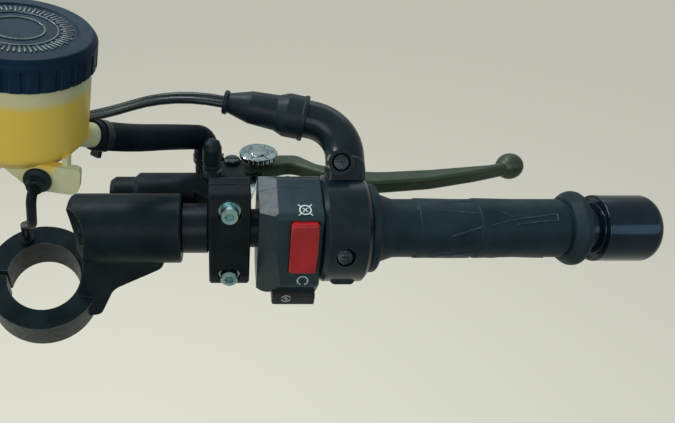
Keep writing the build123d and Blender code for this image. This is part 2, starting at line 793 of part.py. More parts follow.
def case_cavity():
    drum_space = drum_radius + drum_clearance
    wall = 3.1
    cavity = along_bar(case_start + wall) * rod(drum_space, case_width - 2 * wall)
    cavity += along_bar(case_start - 1) * rod(bar_radius + seat_gap, wall + 2)
    cavity += along_bar(case_end - wall - 1) * rod(bar_radius + sleeve_wall + 0.4, wall + 2)
    return cavity


def elbow_solid(radius):
    route = FilletPolyline(*elbow_route(), radius=elbow_bend)
    return sweep(Plane(origin=route @ 0, z_dir=route % 0) * Circle(radius), path=route)


def case_screw_places():
    # Local x, place across the split, height of the head's seat, turn and shank length
    return [
        (case_screw_x, case_upper_screw, 12.4, 0, 9.0),
        (-1.4, -13.6, 21.0, 0, 4.5),
        (0.0, case_lower_screw, -12.0, 180, 18.0),
    ]


def case_screw_holes(radius):
    frame = split_frame()
    holes = []
    for x, across, height, turn, length in case_screw_places():
        place = frame * Pos(x, across, height) * Rot(turn, 0, 0)
        holes.append(place * Pos(0, 0, -length - 0.5) * rod(radius, length + 1))
        holes.append(place * rod(5.3, 20))
    return holes


def throttle_case_front():
    body = case_shell() - case_profile_cut(1, -0.1)
    body += elbow_solid(elbow_radius)
    body -= along_bar(case_end) * rod(grip_flange_radius + 1.2, 12)
    body -= case_cavity()
    body -= elbow_solid(elbow_radius - 3.5)
    return body - case_screw_holes(2.0 + seat_gap)


def throttle_case_rear():
    body = case_shell() - case_profile_cut(-1, -0.1)
    body -= case_cavity()
    body -= elbow_solid(elbow_radius + part_gap)
    return body - case_screw_holes(2.0 + seat_gap)


def throttle_case_screws():
    screws = []
    for x, across, height, turn, length in case_screw_places():
        outline = [(0, -length), (2.0, -length), (2.0, 0), (4.9, 0), (4.9, 1.6), (3.9, 3.2), (0, 3.6)]
        drive = Pos(0, 0, 4.8) * (Box(5.4, 1.1, 6) + Box(1.1, 5.4, 6))
        screws.append(split_frame() * Pos(x, across, height) * Rot(turn, 0, 0) * (turned(outline) - drive))
    return Compound(children=screws)


def cable_boot():
    start, end = boot_route()
    length = (end - start).length
    outline = [(0, 0.1), (boot_radius, 0.1, 0.7), (boot_radius, 2.4, 0.7), (boot_radius - 0.7, 3.0, 0.4),
               (boot_radius - 0.6, 12.0, 1.0), (10.6, 18.0, 1.5), (9.7, 34.0, 2.0),
               (5.9, length - 3.0, 0.6), (7.2, length - 2.6, 0.5), (7.2, length, 0.6), (0, length)]
    return beam_between(start, end) * turned(outline)


def cable_route(side):
    start, end = boot_route()
    away = (end - start).normalized()
    across = Vector(0, 1, 0) - away * away.Y
    first = end + across.normalized() * (side * cable_spacing / 2)
    coil_y = coil_place(side)[1]
    top = coil_height + coil_radius
    return [first, first + away * 30, Vector(26, 73 + side * 2.6, 76.5),
            Vector(-25, coil_y, top), Vector(coil_x + 0.1, coil_y, top)]


def coil_place(side):
    return coil_x, coil_middle + side * 2.9, coil_height


def throttle_cable(side):
    points = cable_route(side)
    print("cable radii", side, [round(radius, 1) for radius in tangent_radii(points)])
    return tube_along(points, cable_diameter / 2)


def cable_coil(side):
    # Unseen cable put away in turns round an axis along Y, starting at the top
    x, y, z = coil_place(side)
    spiral = Helix(coil_pitch, coil_pitch * coil_turns, coil_radius, lefthand=side > 0)
    section = Plane(origin=spiral @ 0, z_dir=spiral % 0) * Circle(cable_diameter / 2)
    coil = sweep(section, path=spiral, is_frenet=True)
    return Plane(origin=(x, y, z), x_dir=(0, 0, 1), z_dir=(0, side, 0)) * coil


def cable_ferrules():
    ferrules = []
    for side in (-1, 1):
        x, y, z = coil_place(side)
        end_y = y + side * coil_pitch * coil_turns
        outline = [(0, 0.1), (2.6, 0.1), (2.6, 14), (0.9, 14), (0.9, 22),
                   (2.4, 22), (2.4, 28), (0, 28)]
        place = Plane(origin=(x, end_y, z + coil_radius), z_dir=(-1, 0, 0))
        ferrules.append(place * turned(outline))
    return Compound(children=ferrules)


def switch_outline(inset):
    # The housing seen along the bar as (forward, up), drawn in by the inset
    outline = rounded_face([
        (9, 31, 6),
        (-20, 24, 5),
        (-26, -21, 6),
        (-19, -34, 6),
        (6, -34, 8),
        (20, -20, 9),
        (21, 16, 9),
    ])
    return offset(outline, amount=-inset, kind=Kind.INTERSECTION) if inset > 0 else outline


def switch_shell():
    block = along_bar(switch_start) * extrude(switch_outline(0), switch_width)
    block = chamfer(block.faces().sort_by(Axis.X)[-1].edges(), 1.0)
    cuts = [plane * inner_end_block(0) for plane in inner_end_planes()]
    block -= cuts
    posts = Compound(children=[switch_post(z) for z in switch_screws])
    posts = block & posts
    wall = 3.0
    hollow = along_bar(switch_start + wall) * extrude(switch_outline(wall), switch_width - 2 * wall)
    hollow -= [plane * inner_end_block(-wall) for plane in inner_end_planes()]
    block -= hollow
    block += posts
    block += along_bar(switch_start) * rod(bar_radius + 4, switch_width)
    block -= along_bar(switch_start - 1) * rod(bar_radius + seat_gap, switch_width + 2)
    for z in switch_screws:
        block -= Pos(switch_middle, -6, bar_height + z) * Rot(-90, 0, 0) * rod(1.6, 60)
        block -= Pos(switch_middle, 14, bar_height + z) * Rot(-90, 0, 0) * rod(3.8, 30)
    return block


def inner_end_block(lift):
    return Pos(0, 0, lift) * Box(120, 80, 30, align=(Align.CENTER, Align.CENTER, Align.MIN))


def inner_end_planes():
    # Flats that take off the inner end's corner: above, beside the rocker and below
    turn = math.radians(switch_facet)
    edge_x = switch_start + switch_bevel
    flat = Plane(origin=(switch_start, -14.5, bar_height), x_dir=(0, 0, 1),
                 z_dir=(-math.sin(turn), -math.cos(turn), 0))
    beside = Plane(origin=(edge_x, -23.3, bar_height - 1.0), z_dir=(-0.486, -0.866, 0.120))
    above = Plane(origin=(edge_x, -5.0, bar_height + 27.6), z_dir=(-0.25, -0.227, 0.941))
    return [flat, beside, above]


def switch_post(z):
    return Pos(switch_middle, 0, bar_height + z) * Rot(90, 0, 0) * Cylinder(5.5, 60)


def switch_half(side):
    keep = Box(100, 60, 120, align=(Align.CENTER, Align.MIN if side > 0 else Align.MAX, Align.CENTER))
    return switch_shell() & Pos(switch_middle, side * 0.1, bar_height) * keep


def rear_face_plane(z):
    # On the rear face, local X along the bar, local Y up the face, local Z out of it
    top_y, top_z, bottom_y, bottom_z = -20, 24, -26, -21
    share = (top_z - z) / (top_z - bottom_z)
    up = Vector(0, top_y - bottom_y, top_z - bottom_z).normalized()
    return Plane(origin=(rocker_middle, top_y + (bottom_y - top_y) * share, bar_height + z),
                 x_dir=(1, 0, 0), z_dir=Vector(1, 0, 0).cross(up))


def kill_switch_rocker():
    # A pillow with rounded corners and a shallow dish across its middle
    block = Box(rocker_width, rocker_height, rocker_rise + 1.4, align=(Align.CENTER, Align.CENTER, Align.MIN))
    block = fillet(block.edges().filter_by(Axis.Z), 2.0)
    block = chamfer(block.edges().group_by(Axis.Z)[-1], 1.3)
    dish = Pos(0, 0, rocker_rise + rocker_dish_radius) * Rot(0, 90, 0) * Cylinder(rocker_dish_radius, 60)
    return rear_face_plane(rocker_centre) * Pos(0, 0, -1.4) * (block - dish)


def rocker_pocket():
    return rear_face_plane(rocker_centre) * Box(rocker_width + 0.8, rocker_height + 0.8, 3.4)


def starter_outline(extra):
    outline = rounded_face([
        (-14, -29, 2),
        (-21, -27, 2),
        (-26, -29, 2.5),
        (-25, -38, 3.5),
        (-18, -40, 3),
        (-14, -36, 2),
    ])
    return offset(outline, amount=extra, kind=Kind.INTERSECTION) if extra > 0 else outline


def starter_button():
    start = switch_end - starter_width - 1.5
    button = along_bar(start) * extrude(starter_outline(0), starter_width)
    button = chamfer(button.faces().sort_by(Axis.X)[0].edges(), 0.8)
    slant = Pos(start, -20, bar_height - 37.0) * Rot(0, 9, 0)
    return button - slant * Box(60, 60, 10, align=(Align.CENTER, Align.CENTER, Align.MAX))


def switch_case_front():
    return switch_half(1)


def switch_case_rear():
    start = switch_end - starter_width - 1.5
    half = switch_half(-1)
    half -= rocker_pocket()
    return half - along_bar(start - 0.4) * extrude(starter_outline(0.4), starter_width + 0.8)


def switch_case_screws():
    screws = []
    outline = [(0, -18), (1.6, -18), (1.6, 0), (3.4, 0), (3.4, 2.0), (2.6, 2.6), (0, 2.8)]
    drive = Pos(0, 0, 4.4) * (Box(4.2, 0.9, 6) + Box(0.9, 4.2, 6))
    for z in switch_screws:
        screws.append(Pos(switch_middle, 14, bar_height + z) * Rot(-90, 0, 0) * (turned(outline) - drive))
    return Compound(children=screws)


def save_all():
    makers = {
        "reservoir_body": reservoir_body,
        "brake_fluid": brake_fluid,
        "reservoir_cap": reservoir_cap,
        "reservoir_grommet": reservoir_grommet,
        "stay_retainer": stay_retainer,
        "reservoir_stay": reservoir_stay,
        "reservoir_hose": reservoir_hose,
        "hose_clips": hose_clips,
        "inlet_stub": inlet_stub,
        "bleed_screw": bleed_screw,
        "bleed_cap": bleed_cap,
        "piston_boot": piston_boot,
        "brake_light_switch": brake_light_switch,
        "lever_knuckle": lever_knuckle,
        "adjuster_dial": adjuster_dial,
        "throttle_case_front": throttle_case_front,
        "throttle_case_rear": throttle_case_rear,
        "throttle_case_screws": throttle_case_screws,
        "cable_boot": cable_boot,
        "cable_ferrules": cable_ferrules,
        "switch_case_front": switch_case_front,
        "switch_case_rear": switch_case_rear,
        "switch_case_screws": switch_case_screws,
        "kill_switch_rocker": kill_switch_rocker,
        "starter_button": starter_button,
    }
    for name, maker in makers.items():
        save(maker(), name)
    for side, name in ((-1, "closing"), (1, "opening")):
        save(throttle_cable(side), "throttle_cable_" + name)
        save(cable_coil(side), "cable_coil_" + name)
    save(bar_holder(), "bar_holder")
    save(holder_pinch_bolt(), "holder_pinch_bolt")
    save(handlebar_tube(), "handlebar_tube")
    save(bar_end_weight(), "bar_end_weight")
    save(bar_end_screw(), "bar_end_screw")
    save(throttle_tube(), "throttle_tube")
    save(grip_rubber(), "grip_rubber")
    save(master_clamp_cap(), "master_clamp_cap")
    save(clamp_bolts(), "clamp_bolts")
    save(master_cylinder_body(), "master_cylinder_body")
    save(lever_pivot_bolt(), "lever_pivot_bolt")
    save(lever_blade(), "lever_blade")


save_all()
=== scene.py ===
import bpy
import bmesh
import math
from mathutils import Matrix, Vector


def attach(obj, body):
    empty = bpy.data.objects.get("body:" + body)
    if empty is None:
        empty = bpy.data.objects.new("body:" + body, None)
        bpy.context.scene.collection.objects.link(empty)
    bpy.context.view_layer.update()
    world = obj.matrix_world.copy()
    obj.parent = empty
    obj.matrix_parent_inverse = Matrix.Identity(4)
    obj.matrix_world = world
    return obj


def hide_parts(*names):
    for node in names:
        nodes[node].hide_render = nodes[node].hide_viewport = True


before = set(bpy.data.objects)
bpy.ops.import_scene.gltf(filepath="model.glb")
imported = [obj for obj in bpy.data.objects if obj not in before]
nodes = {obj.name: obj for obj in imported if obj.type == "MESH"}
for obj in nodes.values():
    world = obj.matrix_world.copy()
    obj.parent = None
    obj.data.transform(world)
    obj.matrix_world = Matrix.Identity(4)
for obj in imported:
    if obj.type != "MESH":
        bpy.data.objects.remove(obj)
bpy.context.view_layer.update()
scene = bpy.context.scene
mm = 0.001
barHeight = 46.0  # the bar's axis above the fork clamp's centre, in mm

# The camera stands behind the bar and looks forward and down on it
cameraSetup = {"lens": 32.0, "sensor": 36.0, "shift": 0.171, "place": (0.110, -0.2647, 0.2687), "tilt": 51.5}
cameraData = bpy.data.cameras.new("mainCamera")
cameraData.sensor_width = cameraSetup["sensor"]
cameraData.lens = cameraSetup["lens"]
cameraData.shift_x = cameraSetup["shift"]
camera = bpy.data.objects.new("mainCamera", cameraData)
camera.location = cameraSetup["place"]
camera.rotation_euler = (math.radians(cameraSetup["tilt"]), 0, 0)
scene.collection.objects.link(camera)
scene.camera = camera
scene.view_settings.view_transform = "Standard"
print("camera ready")

# Throttle cables: from the boot past the reservoir, then wound up beside the holder; sizes in mm
cableSetup = {"radius": 2.3, "spacing": 6.0, "bootStart": (160, 50, 89), "bootEnd": (111, 60, 95),
              "straight": 30.0, "passing": (26, 73, 76.5), "passingApart": 2.6, "coilEntryX": -25.0,
              "coilX": -72.0, "coilY": 70.0, "coilZ": 45.0, "coilApart": 2.9, "coilRadius": 28.0,
              "coilPitch": 5.2, "coilTurns": 4, "stepsPerTurn": 14}
cableSides = {"Closing": -1, "Opening": 1}


def cablePoints(side):
    setup = cableSetup
    bootEnd = Vector(setup["bootEnd"])
    away = (bootEnd - Vector(setup["bootStart"])).normalized()
    across = (Vector((0, 1, 0)) - away * away.y).normalized()
    first = bootEnd + across * (side * setup["spacing"] / 2)
    passing = Vector(setup["passing"]) + Vector((0, side * setup["passingApart"], 0))
    coilY = setup["coilY"] + side * setup["coilApart"]
    top = setup["coilZ"] + setup["coilRadius"]
    points = [first, first + away * setup["straight"], passing, Vector((setup["coilEntryX"], coilY, top))]
    # The curve touches its polygon halfway along each side, so the corners lie outside the coil's radius
    step = math.tau / setup["stepsPerTurn"]
    reach = setup["coilRadius"] / math.cos(step / 2)
    points.append(Vector((setup["coilX"] + reach * math.tan(step / 2) * 0.5, coilY, top)))
    for index in range(setup["stepsPerTurn"] * setup["coilTurns"]):
        angle = step * (index + 0.5)
        along = side * setup["coilPitch"] * angle / math.tau
        points.append(Vector((setup["coilX"] - reach * math.sin(angle), coilY + along,
                              setup["coilZ"] + reach * math.cos(angle))))
    points.append(Vector((setup["coilX"], coilY + side * setup["coilPitch"] * setup["coilTurns"], top)))
    return [point * mm for point in points]


def makeCable(name, side):
    data = bpy.data.curves.new(name, "CURVE")
    data.dimensions = "3D"
    data.bevel_depth = 1.0  # times each point's own radius, which a curve's box counts
    data.bevel_resolution = 4
    data.use_fill_caps = True
    data.resolution_u = 6
    points = cablePoints(side)
    spline = data.splines.new("NURBS")
    spline.points.add(len(points) - 1)
    for target, point in zip(spline.points, points):
        target.co = (*point, 1)
        target.radius = cableSetup["radius"] * mm
    spline.order_u = 3
    spline.use_endpoint_u = True
    cable = bpy.data.objects.new(name, data)
    scene.collection.objects.link(cable)
    return cable


cables = {word: makeCable("throttleCable" + word, side) for word, side in cableSides.items()}
for word, cable in cables.items():
    lower = word.lower()
    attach(cable, "holder")
    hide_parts("throttle_cable_" + lower, "cable_coil_" + lower)
print("cables ready")

# Finishes: colour and second tone, roughness range, grain size and its depth in metres, lighter edges and
# their colour (real wear on most finishes, painted highlights on the grip and the cap's ribs), and shine,
# which is the shader's specular level
finishes = {
    "holderSatin": {"color": (0.004, 0.009, 0.011), "tone": (0.008, 0.016, 0.018), "rough": (0.30, 0.44),
                    "grain": 1400, "depth": 0.00003, "shine": 0.05,
                    "wearAndGlint": 0.35, "wearAndGlintColor": (0.30, 0.33, 0.34)},
    "tubeSatin": {"color": (0.004, 0.008, 0.011), "tone": (0.009, 0.013, 0.017), "rough": (0.28, 0.40),
                  "grain": 1800, "depth": 0.00001, "metal": 0.2, "shine": 0.12,
                  "wearAndGlint": 0.15, "wearAndGlintColor": (0.18, 0.19, 0.20)},
    "masterSatin": {"color": (0.003, 0.006, 0.008), "tone": (0.007, 0.011, 0.014), "rough": (0.36, 0.52),
                    "grain": 1300, "depth": 0.00003, "metal": 0.1, "shine": 0.08,
                    "wearAndGlint": 0.25, "wearAndGlintColor": (0.20, 0.22, 0.23)},
    "leverSatin": {"color": (0.031, 0.046, 0.030), "tone": (0.046, 0.064, 0.045), "rough": (0.34, 0.48),
                   "grain": 1600, "depth": 0.00001, "metal": 0.4, "shine": 0.14,
                   "wearAndGlint": 0.45, "wearAndGlintColor": (0.38, 0.41, 0.40)},
    "caseSatin": {"color": (0.005, 0.012, 0.017), "tone": (0.009, 0.018, 0.024), "rough": (0.20, 0.30),
                  "grain": 900, "depth": 0.00002, "metal": 0.1, "shine": 0.2,
                  "wearAndGlint": 0.25, "wearAndGlintColor": (0.22, 0.25, 0.26)},
    "switchPlastic": {"color": (0.010, 0.025, 0.030), "tone": (0.017, 0.035, 0.041), "rough": (0.26, 0.36),
                      "grain": 2600, "depth": 0.00005, "shine": 0.18,
                      "wearAndGlint": 0.18, "wearAndGlintColor": (0.12, 0.14, 0.15)},
    "starterPlastic": {"color": (0.012, 0.016, 0.015), "tone": (0.020, 0.026, 0.024), "rough": (0.38, 0.52),
                       "grain": 2600, "depth": 0.00004, "shine": 0.12,
                       "wearAndGlint": 0.15, "wearAndGlintColor": (0.12, 0.13, 0.13)},
    "darkPlastic": {"color": (0.006, 0.008, 0.010), "tone": (0.012, 0.015, 0.018), "rough": (0.40, 0.55),
                    "grain": 2200, "depth": 0.00003, "shine": 0.1},
    # Painted highlight: the grip's light edge colour stands in for light catching the ridges and seams of its
    # pattern
    "gripRubberBlack": {"color": (0.0055, 0.015, 0.021), "tone": (0.011, 0.024, 0.031), "rough": (0.40, 0.56),
                        "grain": 3200, "depth": 0.00004, "shine": 0.11,
                        "wearAndGlint": 0.60, "wearAndGlintColor": (0.085, 0.12, 0.13)},
    "bootRubber": {"color": (0.005, 0.012, 0.016), "tone": (0.010, 0.020, 0.024), "rough": (0.32, 0.44),
                   "grain": 1500, "depth": 0.00002, "shine": 0.12,
                   "wearAndGlint": 0.15, "wearAndGlintColor": (0.08, 0.10, 0.10)},
    "hoseRubber": {"color": (0.002, 0.0045, 0.008), "tone": (0.005, 0.009, 0.014), "rough": (0.38, 0.54),
                   "grain": 2000, "depth": 0.00004, "shine": 0.08},
    "sheathPlastic": {"color": (0.004, 0.011, 0.013), "tone": (0.010, 0.020, 0.023), "rough": (0.22, 0.32),
                      "grain": 1500, "depth": 0.000008, "shine": 0.3},
    "weightGloss": {"color": (0.004, 0.012, 0.022), "tone": (0.008, 0.020, 0.034), "rough": (0.10, 0.17),
                    "grain": 500, "depth": 0.00001, "metal": 0.5, "coat": 0.15, "shine": 0.2,
                    "wearAndGlint": 0.20, "wearAndGlintColor": (0.10, 0.12, 0.14)},
    # The cap's dark plastic colour is pushed towards blue as a painted sky reflection
    "capPlastic": {"color": (0.003, 0.013, 0.028), "tone": (0.006, 0.021, 0.040), "rough": (0.34, 0.46),
                   "grain": 1500, "depth": 0.00003, "shine": 0.06,
                   "wearAndGlint": 0.25, "wearAndGlintColor": (0.12, 0.16, 0.19)},
    # Painted glints: the bright edge colour on the cap's ribs and rings stands in for light catching them
    "capGlint": {"color": (0.016, 0.034, 0.050), "tone": (0.070, 0.100, 0.110), "rough": (0.22, 0.34),
                 "grain": 1500, "depth": 0.00002, "shine": 0.4,
                 "wearAndGlint": 0.8, "wearAndGlintColor": (0.26, 0.33, 0.34)},
    "rockerRed": {"color": (0.29, 0.005, 0.010), "tone": (0.39, 0.013, 0.018), "rough": (0.22, 0.34),
                  "grain": 1800, "depth": 0.00001, "shine": 0.35,
                  "wearAndGlint": 0.55, "wearAndGlintColor": (0.78, 0.20, 0.17)},
    "milkyShell": {"color": (0.53, 0.53, 0.30), "tone": (0.60, 0.60, 0.36), "rough": (0.30, 0.44),
                   "grain": 1200, "depth": 0.00002, "alpha": 0.90, "fluid": (0.78, 0.54, 0.05)},
    "amberFluid": {"color": (0.85, 0.60, 0.07), "tone": (0.92, 0.68, 0.11), "rough": (0.20, 0.30),
                   "grain": 300, "depth": 0.00001},
    "zincSteel": {"color": (0.15, 0.28, 0.30), "tone": (0.33, 0.48, 0.48), "rough": (0.22, 0.38),
                  "grain": 1600, "depth": 0.00002, "metal": 1.0,
                  "wearAndGlint": 0.5, "wearAndGlintColor": (0.75, 0.80, 0.80)},
    "darkScrew": {"color": (0.016, 0.024, 0.028), "tone": (0.036, 0.048, 0.053), "rough": (0.24, 0.36),
                  "grain": 1600, "depth": 0.00002, "metal": 0.8,
                  "wearAndGlint": 0.4, "wearAndGlintColor": (0.30, 0.33, 0.34)},
    "polishedAluminium": {"color": (0.20, 0.27, 0.30), "tone": (0.36, 0.43, 0.45), "rough": (0.10, 0.22),
                          "grain": 1400, "depth": 0.00001, "metal": 1.0,
                          "wearAndGlint": 0.4, "wearAndGlintColor": (0.85, 0.88, 0.88)},
    "markPaint": {"color": (0.36, 0.43, 0.41), "tone": (0.46, 0.53, 0.50), "rough": (0.45, 0.60),
                  "grain": 1500, "depth": 0.00001},
}
# Surface: broad blotches mix the two tones, finer smudges vary the roughness, and the grain is a bump
surfaceSetup = {"blotchScale": 60.0, "blotchDetail": 5.0, "blotchRange": (0.35, 0.65),
                "smudgeScale": 260.0, "smudgeDetail": 4.0, "smudgeRange": (0.3, 0.7),
                "grainDetail": 3.0, "bumpStrength": 0.6}


def makeNoise(tree, coords, scale, detail):
    noise = tree.nodes.new("ShaderNodeTexNoise")
    noise.inputs["Scale"].default_value = scale
    noise.inputs["Detail"].default_value = detail
    tree.links.new(coords.outputs["Object"], noise.inputs["Vector"])
    return noise


def makeRange(tree, value, fromLow, fromHigh, low, high):
    spread = tree.nodes.new("ShaderNodeMapRange")
    spread.inputs["From Min"].default_value = fromLow
    spread.inputs["From Max"].default_value = fromHigh
    spread.inputs["To Min"].default_value = low
    spread.inputs["To Max"].default_value = high
    tree.links.new(value, spread.inputs["Value"])
    return spread.outputs["Result"]


def makeMix(tree, factor, first, second):
    mix = tree.nodes.new("ShaderNodeMix")
    mix.data_type = "RGBA"
    tree.links.new(factor, mix.inputs["Factor"])
    for socket, value in ((mix.inputs["A"], first), (mix.inputs["B"], second)):
        if isinstance(value, tuple):
            socket.default_value = (*value, 1)
        else:
            tree.links.new(value, socket)
    return mix.outputs["Result"]


def makeMath(tree, operation, first, second):
    step = tree.nodes.new("ShaderNodeMath")
    step.operation = operation
    for socket, value in zip(step.inputs, (first, second)):
        if isinstance(value, (int, float)):
            socket.default_value = value
        else:
            tree.links.new(value, socket)
    return step.outputs["Value"]


def makeVectorMath(tree, operation, first, second):
    step = tree.nodes.new("ShaderNodeVectorMath")
    step.operation = operation
    tree.links.new(first, step.inputs[0])
    if isinstance(second, (tuple, Vector)):
        step.inputs[1].default_value = second
    elif second is not None:
        tree.links.new(second, step.inputs[1])
    return step


# Edge wear and painted edge highlights: their reach in metres, how far the rounded normal has to part from
# the flat one, and their gaps
edgeSetup = {"samples": 6, "reach": 0.0006, "flat": 0.985, "sharp": 0.90,
             "gapNoise": 0.42, "fullNoise": 0.60, "gapShare": 0.25}


def edgeWearAndGlint(tree, amount, patches):
    # Where the rounded normal leaves the flat one is an edge; noise breaks the wear and the painted edge
    # highlights up
    setup = edgeSetup
    bevel = tree.nodes.new("ShaderNodeBevel")
    bevel.samples = setup["samples"]
    bevel.inputs["Radius"].default_value = setup["reach"]
    geometry = tree.nodes.new("ShaderNodeNewGeometry")
    dot = makeVectorMath(tree, "DOT_PRODUCT", bevel.outputs["Normal"], geometry.outputs["Normal"])
    edge = makeRange(tree, dot.outputs["Value"], setup["flat"], setup["sharp"], 0.0, amount)
    broken = makeRange(tree, patches, setup["gapNoise"], setup["fullNoise"], setup["gapShare"], 1.0)
    return makeMath(tree, "MULTIPLY", edge, broken)


# Reservoir: where its cap's top lies, its lean in degrees, and the fluid's bottom and level below that top,
# in metres; tint is how far the fluid colours the wall, and tintAbove the share left over its level
reservoirSetup = {"top": (0.0257, -0.0238, 0.1746), "lean": 10.7, "bottom": 0.0530, "level": 0.0208,
                  "radius": 0.0325, "bottomBlur": 0.003, "levelBlur": 0.002, "sideBlur": 0.001,
                  "tint": 0.92, "tintAbove": 0.10}


def reservoirAxis():
    lean = math.radians(reservoirSetup["lean"])
    return Vector((math.sin(lean), 0, math.cos(lean)))


def fluidShade(tree, coords):
    # The fluid shines through the container's wall between its bottom and its level
    setup = reservoirSetup
    axis = reservoirAxis()
    away = makeVectorMath(tree, "SUBTRACT", coords.outputs["Object"], setup["top"]).outputs["Vector"]
    height = makeVectorMath(tree, "DOT_PRODUCT", away, axis).outputs["Value"]
    across = makeVectorMath(tree, "CROSS_PRODUCT", away, axis).outputs["Vector"]
    reach = makeVectorMath(tree, "LENGTH", across, None).outputs["Value"]
    low = makeRange(tree, height, -setup["bottom"] - setup["bottomBlur"],
                    -setup["bottom"] + setup["bottomBlur"], 0.0, setup["tint"])
    high = makeRange(tree, height, -setup["level"] - setup["levelBlur"],
                     -setup["level"] + setup["levelBlur"], 1.0, setup["tintAbove"])
    inside = makeRange(tree, reach, setup["radius"], setup["radius"] + setup["sideBlur"], 1.0, 0.0)
    return makeMath(tree, "MULTIPLY", makeMath(tree, "MULTIPLY", low, high), inside)


def makeFinish(name, look):
    setup = surfaceSetup
    material = bpy.data.materials.new(name)
    material.use_nodes = True
    tree = material.node_tree
    shader = tree.nodes["Principled BSDF"]
    coords = tree.nodes.new("ShaderNodeTexCoord")
    blotch = makeNoise(tree, coords, setup["blotchScale"], setup["blotchDetail"])
    smudge = makeNoise(tree, coords, setup["smudgeScale"], setup["smudgeDetail"])
    grain = makeNoise(tree, coords, look["grain"], setup["grainDetail"])
    tones = makeRange(tree, blotch.outputs["Fac"], *setup["blotchRange"], 0.0, 1.0)
    color = makeMix(tree, tones, look["color"], look["tone"])
    # Lighter edges: real wear on most finishes, a painted highlight on the grip and the cap's ribs
    if look.get("wearAndGlint"):
        wearAndGlintMask = edgeWearAndGlint(tree, look["wearAndGlint"], smudge.outputs["Fac"])
        color = makeMix(tree, wearAndGlintMask, color, look["wearAndGlintColor"])
    if look.get("fluid"):
        color = makeMix(tree, fluidShade(tree, coords), color, look["fluid"])
    tree.links.new(color, shader.inputs["Base Color"])
    rough = makeRange(tree, smudge.outputs["Fac"], *setup["smudgeRange"], *look["rough"])
    tree.links.new(rough, shader.inputs["Roughness"])
    bump = tree.nodes.new("ShaderNodeBump")
    bump.inputs["Strength"].default_value = setup["bumpStrength"]
    bump.inputs["Distance"].default_value = look["depth"]
    tree.links.new(grain.outputs["Fac"], bump.inputs["Height"])
    tree.links.new(bump.outputs["Normal"], shader.inputs["Normal"])
    shader.inputs["Metallic"].default_value = look.get("metal", 0.0)
    shader.inputs["Specular IOR Level"].default_value = look.get("shine", 0.5)
    shader.inputs["Coat Weight"].default_value = look.get("coat", 0.0)
    shader.inputs["Alpha"].default_value = look.get("alpha", 1.0)
    return material


materials = {name: makeFinish(name, look) for name, look in finishes.items()}
finishNodes = {
    "holderSatin": ["bar_holder"],
    "tubeSatin": ["handlebar_tube"],
    "masterSatin": ["master_clamp_cap", "master_cylinder_body", "reservoir_stay"],
    "leverSatin": ["lever_blade"],
    "caseSatin": ["throttle_case_front", "throttle_case_rear"],
    "switchPlastic": ["switch_case_front", "switch_case_rear"],
    "starterPlastic": ["starter_button"],
    "darkPlastic": ["throttle_tube", "brake_light_switch", "inlet_stub"],
    "gripRubberBlack": ["grip_rubber"],
    "bootRubber": ["cable_boot", "piston_boot", "bleed_cap", "reservoir_grommet"],
    "hoseRubber": ["reservoir_hose"],
    "sheathPlastic": ["throttle_cable_closing", "throttle_cable_opening",
                      "cable_coil_closing", "cable_coil_opening"],
    "weightGloss": ["bar_end_weight"],
    "capPlastic": ["reservoir_cap"],
    "rockerRed": ["kill_switch_rocker"],
    "milkyShell": ["reservoir_body"],
    "amberFluid": ["brake_fluid"],
    "zincSteel": ["holder_pinch_bolt", "clamp_bolts", "bleed_screw", "stay_retainer", "cable_ferrules"],
    "darkScrew": ["bar_end_screw", "lever_pivot_bolt", "hose_clips", "throttle_case_screws",
                  "switch_case_screws"],
    "polishedAluminium": ["lever_knuckle", "adjuster_dial"],
}
for finish, nodeNames in finishNodes.items():
    for nodeName in nodeNames:
        nodes[nodeName].data.materials.clear()
        nodes[nodeName].data.materials.append(materials[finish])
for cable in cables.values():
    cable.data.materials.append(materials["sheathPlastic"])
print("finishes ready")


def finishPiece(bm, name, place, finish, body, smooth=True):
    bmesh.ops.transform(bm, matrix=place, verts=bm.verts)
    bmesh.ops.recalc_face_normals(bm, faces=bm.faces)
    data = bpy.data.meshes.new(name)
    bm.to_mesh(data)
    bm.free()
    for face in data.polygons:
        face.use_smooth = smooth
    piece = bpy.data.objects.new(name, data)
    scene.collection.objects.link(piece)
    data.materials.append(materials[finish])
    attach(piece, body)


def frameAt(origin, normal, up):
    # Local Z leaves the surface and local Y points up along it; sizes inside are millimetres
    z = Vector(normal).normalized()
    y = (Vector(up) - z * Vector(up).dot(z)).normalized()
    x = y.cross(z)
    turn = Matrix((x, y, z)).transposed().to_4x4()
    return Matrix.Translation(Vector(origin) * mm) @ turn @ Matrix.Scale(mm, 4)


def onCircle(radius, degrees):
    return radius * math.cos(math.radians(degrees)), radius * math.sin(math.radians(degrees))


def addArc(bm, radius, width, height, start, sweep, steps):
    # A flat band turned about Z, a full ring when the sweep is 360
    inner, outer = radius - width / 2, radius + width / 2
    section = [(inner, 0), (outer, 0), (outer, height), (inner, height)]
    corners = [bm.verts.new((reach, 0, z)) for reach, z in section]
    cap = bm.faces.new(corners)
    bmesh.ops.rotate(bm, verts=corners, cent=(0, 0, 0), matrix=Matrix.Rotation(math.radians(start), 3, "Z"))
    full = abs(sweep) >= 360
    geometry = corners + list(cap.edges) + ([] if full else [cap])
    if full:
        bm.faces.remove(cap)
    bmesh.ops.spin(bm, geom=geometry, cent=(0, 0, 0), axis=(0, 0, 1), angle=math.radians(sweep),
                   steps=steps, use_merge=full)


def addBar(bm, length, width, height, centre, turn):
    # A low bar with softened edges, its middle at centre and turned about Z
    softened = 0.2  # share of its smaller side
    middle = Matrix.Translation((centre[0], centre[1], height / 2))
    place = middle @ Matrix.Rotation(math.radians(turn), 4, "Z")
    bar = bmesh.ops.create_cube(bm, size=1, matrix=place @ Matrix.Diagonal((length, width, height, 1)))
    edges = {edge for vert in bar["verts"] for edge in vert.link_edges}
    bmesh.ops.bevel(bm, geom=list(edges), offset=min(width, height) * softened, offset_type="OFFSET",
                    segments=1, profile=0.5, affect="EDGES", material=-1)


